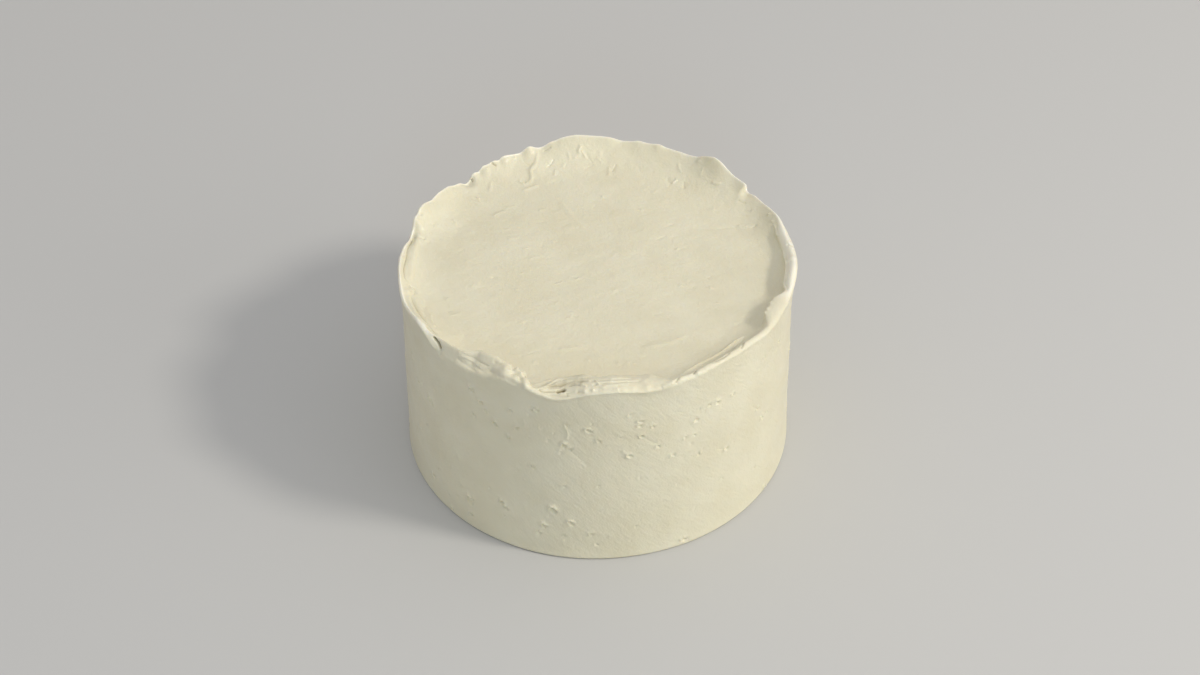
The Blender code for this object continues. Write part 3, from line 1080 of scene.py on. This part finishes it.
@dataclass
class CreamSkin:
    """The cream's one closed surface, which stands for the whole cake."""

    form: CakeForm
    marks: CreamMarks

    steps: int = 400
    under_places: tuple = (0.0, 0.3, 0.6, 0.85, 0.95)
    foot_places: tuple = (1.0, 1.003, 1.007, 1.014)
    side_from: float = 1.02
    side_rows: int = 50
    neck_rows: int = 8
    crest_from: float = 4.0
    crest_rows: int = 35
    top_rings: int = 46
    merge_distance: float = 0.000001

    rounds: int = 3
    longest_share: float = 1.5
    least_move: float = 0.00002
    flat_from: float = 11.2
    slope_foot_from: float = 10.0
    slope_foot_share: float = 0.7
    spacing_under: float = 0.01
    spacing_side: float = 0.00095
    spacing_lip: float = 0.00048
    spacing_top: float = 0.00110
    spacing_least: float = 0.00018

    side_band: tuple = (1.06, 4.6, 0.1)
    lip_band: tuple = (4.0, 10.5, 0.8)
    top_from: float = 9.0
    top_fade: float = 2.0
    torn_stretch: tuple = (262.0, 296.0, 5.0)
    torn_band: tuple = (4.8, 7.3, 0.7)
    ironed_stretch: tuple = (216.0, 256.0, 6.0)
    ironed_band: tuple = (3.6, 7.4, 0.7)
    # Painted highlight: the band along the cut whose colour is made whiter on the crest, dimmed where the lip
    # is folded
    crest_highlight_band: tuple = (5.2, 6.7, 0.8)
    folded_stretch: tuple = (216.0, 342.0, 8.0)
    folded_highlight_dimming: float = 0.95
    # How much of the painted shade in hollows the side and the outer lip keep, against the crest and the top
    side_shade_share: float = 0.25
    crease_squeeze: float = 0.16
    drag_twist: float = 12.0
    drag_squeeze: float = 0.8
    sweep: tuple = ((0.9, -1.6, 0.0), (0.45, 3.2, 0.0), (0.0, 0.0, 1.0))

    def cut_places(self) -> list[float]:
        """Work out where along the cut the first, even skin has its vertices.

        Returns:
            The places, in order.
        """
        stretches = (
            (self.side_from, LIP_START, self.side_rows),
            (LIP_START, self.crest_from, self.neck_rows),
            (self.crest_from, TOP_START, self.crest_rows),
            (TOP_START, MIDDLE, self.top_rings),
        )
        places = [*self.under_places, *self.foot_places]
        for start, end, rows in stretches:
            places += [start + (end - start) * row / rows for row in range(rows)]
        return [*places, MIDDLE]

    def spin(self, mesh: bmesh.types.BMesh) -> bmesh.types.BMLayerItem:
        """Turn one cut into a closed skin.

        Args:
            mesh: the empty mesh that gets the skin.

        Returns:
            The vertex layer that keeps each vertex's place along the cut.
        """
        layer = mesh.verts.layers.float.new("along")
        places = np.array(self.cut_places())
        points = self.form.place(np.zeros_like(places), places)
        chain = []
        for place, point in zip(places, points):
            vertex = mesh.verts.new(point)
            vertex[layer] = place
            chain.append(vertex)
        edges = [mesh.edges.new(pair) for pair in zip(chain, chain[1:])]
        bmesh.ops.spin(
            mesh,
            geom=chain + edges,
            cent=(0.0, 0.0, 0.0),
            axis=(0.0, 0.0, 1.0),
            angle=math.tau,
            steps=self.steps,
            use_merge=True,
        )
        bmesh.ops.remove_doubles(mesh, verts=mesh.verts, dist=self.merge_distance)
        return layer

    def read(self, mesh: bmesh.types.BMesh, layer: bmesh.types.BMLayerItem) -> Skin:
        """Find where each vertex lies on the smooth skin.

        Args:
            mesh: the skin's mesh.
            layer: the vertex layer with the places along the cut.

        Returns:
            The points of the smooth skin.
        """
        flat = np.array([(vertex.co.x, vertex.co.y, vertex[layer]) for vertex in mesh.verts])
        angle = np.degrees(np.arctan2(flat[:, 1], flat[:, 0])) % 360.0
        along = np.clip(flat[:, 2], 0.0, MIDDLE)
        return Skin(angle, along, self.form.place(angle, along))

    def wanted(self, skin: Skin, marks: list) -> np.ndarray:
        """Work out how long edges may be, which is less where a mark needs finer ones.

        Args:
            skin: the middles of the edges.
            marks: the marks.

        Returns:
            The greatest length at each point.
        """
        length = np.full(len(skin.angle), self.spacing_under)
        length[skin.along > SIDE_START] = self.spacing_side
        length[skin.along > self.crest_from] = self.spacing_lip
        length[skin.along > self.slope_foot_from] = self.slope_foot_share * self.spacing_top
        length[skin.along > self.flat_from] = self.spacing_top
        for mark in marks:
            chosen, moved = mark.raise_skin(skin, self.form)
            felt = chosen[np.abs(moved) > self.least_move]
            finest = max(mark.edge_share * mark.half_width, self.spacing_least)
            length[felt] = np.minimum(length[felt], finest)
        return length

    def refine(self, mesh: bmesh.types.BMesh, layer: bmesh.types.BMLayerItem, marks: list) -> None:
        """Divide edges that are too long for the relief that they have to carry.

        Args:
            mesh: the turned skin.
            layer: the vertex layer with the places along the cut.
            marks: the marks that need finer edges.
        """
        for _ in range(self.rounds):
            mesh.verts.index_update()
            skin = self.read(mesh, layer)
            edges = list(mesh.edges)
            ends = np.array([(edge.verts[0].index, edge.verts[1].index) for edge in edges])
            start, end = skin.point[ends[:, 0]], skin.point[ends[:, 1]]
            length = np.linalg.norm(end - start, axis=1)
            middle = 0.5 * (start + end)
            angle = np.degrees(np.arctan2(middle[:, 1], middle[:, 0])) % 360.0
            along = 0.5 * (skin.along[ends[:, 0]] + skin.along[ends[:, 1]])
            wanted = self.wanted(Skin(angle, along, middle), marks)
            too_long = np.nonzero(length > self.longest_share * wanted)[0]
            long_edges = [edges[number] for number in too_long]
            if not long_edges:
                break
            bmesh.ops.subdivide_edges(
                mesh,
                edges=long_edges,
                cuts=1,
                use_grid_fill=True,
                quad_corner_type="INNER_VERT",
            )

    def grain_relief(self, skin: Skin) -> np.ndarray:
        """Work out the slow waves, smears and crumbling that cover whole stretches of the cream.

        Args:
            skin: the points.

        Returns:
            How far each point moves outwards.
        """
        point, angle, along = skin.point, skin.angle, skin.along
        side = band(along, *self.side_band)
        lip = band(along, *self.lip_band)
        top = smooth_step((along - self.top_from) / self.top_fade)
        torn = stretch(angle, *self.torn_stretch) * band(along, *self.torn_band)
        ironed = stretch(angle, *self.ironed_stretch) * band(along, *self.ironed_band)
        dragged = self.dragged(point)
        swept = point @ np.array(self.sweep)
        radius = np.hypot(point[:, 0], point[:, 1])
        creased = np.stack([np.radians(angle) * radius * self.crease_squeeze, radius, point[:, 2]], axis=-1)
        # Where each layer lies, the space that its noise is read in, its size, seed, octaves and height
        layers = (
            (side, point, 0.0130, 2.0, 1, 0.00010),
            (side, dragged, 0.0040, 31.0, 2, 0.00007),
            (top, swept, 0.0120, 5.0, 2, 0.00008),
            (top, point, 0.0045, 9.0, 2, 0.00006),
            (lip, point, 0.0042, 7.0, 2, 0.00010),
            (torn, creased, 0.0009, 13.0, 2, 0.00013),
            (torn, point, 0.0026, 14.0, 2, 0.00010),
            (ironed, creased, 0.0012, 19.0, 2, 0.00013),
        )
        relief = np.zeros(len(point))
        for where, space, size, seed, octaves, height in layers:
            relief += where * height * grain(space, size, seed, octaves)
        return relief

    def dragged(self, point: np.ndarray) -> np.ndarray:
        """Twist space round the cake, so that noise in it runs down to the right as dragged marks.

        Args:
            point: the points.

        Returns:
            The twisted points.
        """
        turn = np.arctan2(point[:, 1], point[:, 0]) + point[:, 2] * self.drag_twist
        radius = np.hypot(point[:, 0], point[:, 1])
        height = self.drag_squeeze * point[:, 2]
        return np.stack([radius * np.cos(turn), radius * np.sin(turn), height], axis=-1)

    def build(self) -> bpy.types.Object:
        """Make the cream's object.

        Returns:
            The object, with what its finish reads kept in three attributes.
        """
        mesh = bmesh.new()
        places = self.spin(mesh)
        marks = self.marks.every()
        self.refine(mesh, places, marks)
        skin = self.read(mesh, places)
        for vertex, point in zip(mesh.verts, skin.point):
            vertex.co = point
        bmesh.ops.recalc_face_normals(mesh, faces=mesh.faces)
        mesh.normal_update()
        normals = np.array([vertex.normal[:] for vertex in mesh.verts])

        relief = self.grain_relief(skin)
        for mark in marks:
            chosen, moved = mark.raise_skin(skin, self.form)
            relief[chosen] += moved
        shaped = skin.point + relief[:, None] * normals
        shaped[:, 2] = np.where(skin.along <= SIDE_START, 0.0, np.maximum(shaped[:, 2], 0.0))
        # Mask of the painted highlight on the crest, kept as the attribute crest and mostly dimmed along the
        # folded front
        folded = stretch(skin.angle, *self.folded_stretch)
        crest = band(skin.along, *self.crest_highlight_band) * (1.0 - self.folded_highlight_dimming * folded)
        # The relief, kept as an attribute in millimetres, sets painted shade in hollows; the side keeps only
        # a share of it
        tint = self.side_shade_share + (1.0 - self.side_shade_share) * smooth_step(skin.along - self.crest_from)
        layers = [mesh.verts.layers.float.new(name) for name in ("relief", "crest")]
        drag = mesh.verts.layers.float_vector.new("drag")
        rows = zip(mesh.verts, shaped, self.dragged(skin.point), relief / MM * tint, crest)
        for vertex, point, turned, *values in rows:
            vertex.co = point
            vertex[drag] = turned
            for layer, value in zip(layers, values):
                vertex[layer] = value
        many_sided = [face for face in mesh.faces if len(face.verts) > QUAD_CORNERS]
        bmesh.ops.triangulate(mesh, faces=many_sided)

        data = bpy.data.meshes.new("buttercream")
        mesh.to_mesh(data)
        mesh.free()
        data.shade_smooth()
        cream = bpy.data.objects.new("buttercream", data)
        bpy.context.collection.objects.link(cream)
        return cream


@dataclass(frozen=True)
class Pattern:
    """A noise in the cream: how large its lumps are, how many finer layers it has, and its height."""

    size: float
    layers: float
    height: float = 0.0


@dataclass(frozen=True)
class Buttercream:
    """White buttercream, smoothed with a steel scraper.

    Butter and sugar beaten with air: opaque ivory that lets a little light in, with a satin gloss
    where the scraper passed and a drier look where the cream tore. A whiter colour on the thin edges
    of the crest is a painted highlight, and a darker colour in hollows is painted shade, set by their
    depth, which is in millimetres here.
    """

    pale: str = "#E9E3C8"
    warm: str = "#E4DDC0"
    # Painted highlight: a whiter colour on the crest of the lip, where its thin edges catch the light
    painted_crest_highlight: str = "#F9F3DF"
    # Painted shade: a darker colour in hollows, cracks and pits, growing with their depth
    painted_hollow_shade: str = "#A79B76"
    warm_between: tuple = (0.35, 0.65)
    hollow_shade_between: tuple = (-0.15, -1.3)
    dry_between: tuple = (0.35, 0.7)
    roughness_smooth: float = 0.32
    roughness_dry: float = 0.50
    refraction: float = 1.46
    scatter: float = 0.30
    scatter_depth: float = 0.0007
    scatter_colour: tuple = (1.0, 0.82, 0.55)
    blotch: Pattern = Pattern(0.014, 3.0)
    smear: Pattern = Pattern(0.0055, 4.0, 0.00016)
    drag: Pattern = Pattern(0.0013, 2.0, 0.00013)
    pore: Pattern = Pattern(0.0006, 1.0, 0.00006)
    pattern_grit: float = 0.55

    def material(self) -> bpy.types.Material:
        """Build the finish, which reads the skin's attributes.

        Returns:
            The material.
        """
        material = bpy.data.materials.new("smoothed_buttercream")
        material.use_nodes = True
        tree = material.node_tree
        tree.nodes.clear()
        place = add_node(tree, "ShaderNodeTexCoord", {}, {}).outputs["Object"]
        read = []
        # The attribute crest masks the painted highlight on the lip, and relief sets the painted shade in
        # hollows
        for name, output in (("drag", "Vector"), ("crest", "Fac"), ("relief", "Fac")):
            node = add_node(tree, "ShaderNodeAttribute", {"attribute_name": name}, {})
            read.append(node.outputs[output])
        dragged, crest, relief = read

        noises = []
        spaces = ((self.smear, dragged), (self.drag, dragged), (self.pore, place), (self.blotch, place))
        for pattern, space in spaces:
            inputs = {"Vector": space, "Scale": 1.0 / pattern.size, "Detail": pattern.layers}
            inputs["Roughness"] = self.pattern_grit
            noises.append(add_node(tree, "ShaderNodeTexNoise", {}, inputs).outputs["Fac"])
        smear, drag, pore, blotch = noises

        normal = {}
        for pattern, value in ((self.smear, smear), (self.drag, drag), (self.pore, pore)):
            inputs = {"Height": value, "Distance": pattern.height, "Strength": 1.0, **normal}
            normal = {"Normal": add_node(tree, "ShaderNodeBump", {}, inputs).outputs["Normal"]}

        mapped = []
        ranges = (
            (blotch, self.warm_between, (0.0, 1.0)),
            (relief, self.hollow_shade_between, (0.0, 1.0)),
            (smear, self.dry_between, (self.roughness_smooth, self.roughness_dry)),
        )
        for value, given, wanted in ranges:
            inputs = {"Value": value, "From Min": given[0], "From Max": given[1]}
            inputs.update({"To Min": wanted[0], "To Max": wanted[1]})
            mapped.append(add_node(tree, "ShaderNodeMapRange", {}, inputs).outputs["Result"])
        warmth, depth, roughness = mapped

        # Mix in the random warm blotches, then the painted highlight on the crest, then the painted shade in
        # hollows
        colour = linear(self.pale)
        tints = ((warmth, self.warm), (crest, self.painted_crest_highlight), (depth, self.painted_hollow_shade))
        for share, tint in tints:
            inputs = {"Factor": share, MIX_FIRST: colour, MIX_SECOND: linear(tint)}
            mix = add_node(tree, "ShaderNodeMix", {"data_type": "RGBA"}, inputs)
            colour = mix.outputs[MIX_RESULT]

        inputs = {
            "Base Color": colour,
            "Roughness": roughness,
            "Subsurface Weight": self.scatter,
            "Subsurface Radius": self.scatter_colour,
            "Subsurface Scale": self.scatter_depth,
            "IOR": self.refraction,
            **normal,
        }
        shader = add_node(tree, "ShaderNodeBsdfPrincipled", {"subsurface_method": "RANDOM_WALK"}, inputs)
        add_node(tree, "ShaderNodeOutputMaterial", {}, {"Surface": shader.outputs["BSDF"]})
        return material


@dataclass(frozen=True)
class Softbox:
    """A round soft light that looks at the cake, with its angles in degrees."""

    name: str
    azimuth: float
    elevation: float
    size: float
    power: float
    colour: str

    def hang(self, distance: float, aim: Vector) -> None:
        """Hang the light at a distance from the point that it looks at.

        Args:
            distance: how far away it hangs.
            aim: the point.
        """
        azimuth, elevation = math.radians(self.azimuth), math.radians(self.elevation)
        flat = math.cos(elevation)
        towards = Vector((math.cos(azimuth) * flat, math.sin(azimuth) * flat, math.sin(elevation)))
        light = bpy.data.lights.new(self.name, "AREA")
        light.shape = "DISK"
        light.size = self.size
        light.energy = self.power
        light.color = linear(self.colour)[:3]
        lamp = bpy.data.objects.new(self.name, light)
        lamp.location = towards * distance + aim
        lamp.rotation_mode = "QUATERNION"
        lamp.rotation_quaternion = towards.to_track_quat("Z", "Y")
        bpy.context.collection.objects.link(lamp)


@dataclass
class Studio:
    """A plain pale floor, soft light and the camera."""

    floor_size: float = 6.0
    floor_gap: float = 0.00002
    floor_colour: str = "#C9C8C4"
    floor_roughness: float = 0.9
    sky_colour: str = "#F8F7F9"
    sky_at_horizon: float = 0.35
    sky_overhead: float = 0.765
    light_distance: float = 1.3
    aim_height: float = 0.03
    softboxes: tuple = (
        Softbox("key", -20.0, 43.0, 0.22, 6.2, "#FFFAF2"),
        Softbox("side", -25.0, 15.0, 1.00, 3.6, "#FFFCF6"),
        Softbox("front", 272.0, 27.0, 0.32, 1.7, "#B4DAFF"),
    )
    lens: float = 80.0
    sensor_width: float = 36.0
    camera_place: tuple = (0.0008, -0.5558, 0.5351)
    camera_pitch: float = 42.10
    camera_roll: float = -0.57

    def floor(self) -> None:
        """Lay the floor just under the cake."""
        mesh = bmesh.new()
        bmesh.ops.create_grid(mesh, x_segments=1, y_segments=1, size=0.5 * self.floor_size)
        bmesh.ops.translate(mesh, verts=mesh.verts, vec=(0.0, 0.0, -self.floor_gap))
        data = bpy.data.meshes.new("floor")
        mesh.to_mesh(data)
        mesh.free()
        material = bpy.data.materials.new("matt_paper_floor")
        material.use_nodes = True
        shader = material.node_tree.nodes["Principled BSDF"]
        shader.inputs["Base Color"].default_value = linear(self.floor_colour)
        shader.inputs["Roughness"].default_value = self.floor_roughness
        data.materials.append(material)
        floor = bpy.data.objects.new("floor", data)
        bpy.context.collection.objects.link(floor)

    def lights(self) -> None:
        """Hang the soft lights, and light the rest from a sky that is brighter overhead."""
        for softbox in self.softboxes:
            softbox.hang(self.light_distance, Vector((0.0, 0.0, self.aim_height)))
        world = bpy.data.worlds.new("soft_box")
        world.use_nodes = True
        tree = world.node_tree
        towards = add_node(tree, "ShaderNodeTexCoord", {}, {}).outputs["Generated"]
        height = add_node(tree, "ShaderNodeSeparateXYZ", {}, {"Vector": towards}).outputs["Z"]
        inputs = {"Value": height, "To Min": self.sky_at_horizon, "To Max": self.sky_overhead}
        strength = add_node(tree, "ShaderNodeMapRange", {}, inputs)
        sky = tree.nodes["Background"]
        sky.inputs["Color"].default_value = linear(self.sky_colour)
        tree.links.new(strength.outputs["Result"], sky.inputs["Strength"])
        bpy.context.scene.world = world
        bpy.context.scene.view_settings.view_transform = "Standard"

    def camera(self) -> None:
        """Set the camera at the photograph's angle."""
        pitch, roll = math.radians(self.camera_pitch), math.radians(self.camera_roll)
        ahead = Vector((0.0, math.cos(pitch), -math.sin(pitch)))
        level = Vector((1.0, 0.0, 0.0))
        upright = level.cross(ahead)
        right = math.cos(roll) * level + math.sin(roll) * upright
        up = math.cos(roll) * upright - math.sin(roll) * level
        data = bpy.data.cameras.new("camera")
        data.lens = self.lens
        data.sensor_width = self.sensor_width
        camera = bpy.data.objects.new("camera", data)
        turned = Matrix((right, up, -ahead)).transposed().to_4x4()
        camera.matrix_world = Matrix.Translation(self.camera_place) @ turned
        bpy.context.collection.objects.link(camera)
        bpy.context.scene.camera = camera

    def build(self) -> None:
        """Make the floor, the lights and the camera."""
        self.camera()
        self.floor()
        self.lights()


def main() -> None:
    """Build the studio and the cake, and report each piece."""
    logging.basicConfig(level=logging.INFO, format="%(name)s: %(message)s")
    studio = Studio()
    studio.build()
    LOG.info("studio: camera, floor, sky and %d soft lights", len(studio.softboxes))

    cream = CreamSkin(CakeForm(), CreamMarks()).build()
    cream.data.materials.append(Buttercream().material())
    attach(cream, "root")
    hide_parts(NODE)
    triangles = sum(len(face.vertices) - 2 for face in cream.data.polygons)
    LOG.info("%s: %d triangles", cream.name, triangles)


if __name__ == "__main__":
    main()
